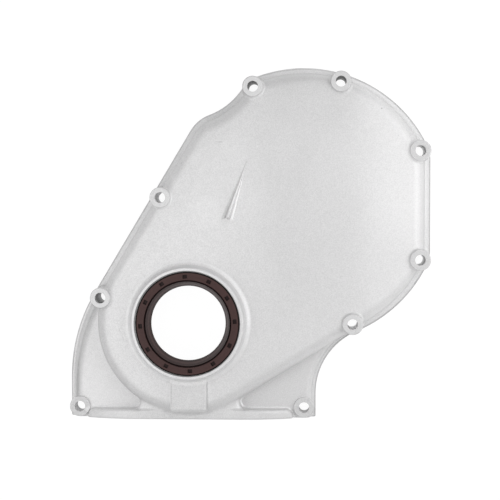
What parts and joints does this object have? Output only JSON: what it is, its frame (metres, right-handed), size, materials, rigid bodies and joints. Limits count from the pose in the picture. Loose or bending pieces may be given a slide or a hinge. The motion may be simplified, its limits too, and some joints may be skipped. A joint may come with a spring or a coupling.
{
  "type": "timing cover",
  "caption": "Cast aluminium timing cover with a raised gear housing, bolt bosses round its rim, a pan rail and a crankshaft oil seal.",
  "frame": {"origin": "on the crankshaft axis, in the plane of the gasket face", "axes": "+Z out of the engine along the crankshaft, +Y up the engine, +X to the right as seen from the front"},
  "size_m": [0.24, 0.2324, 0.0335],
  "materials": {
    "cast_aluminium": "blasted casting with machined faces",
    "seal_rubber": "moulded, semi-gloss",
    "seal_steel": "pressed sheet",
    "spring_steel": "bright wire"
  },
  "bodies": {
    "root": {"timing_cover": "cast_aluminium", "seal_body": "seal_rubber", "seal_case": "seal_steel", "garter_spring": "spring_steel"}
  },
  "joints": []
}
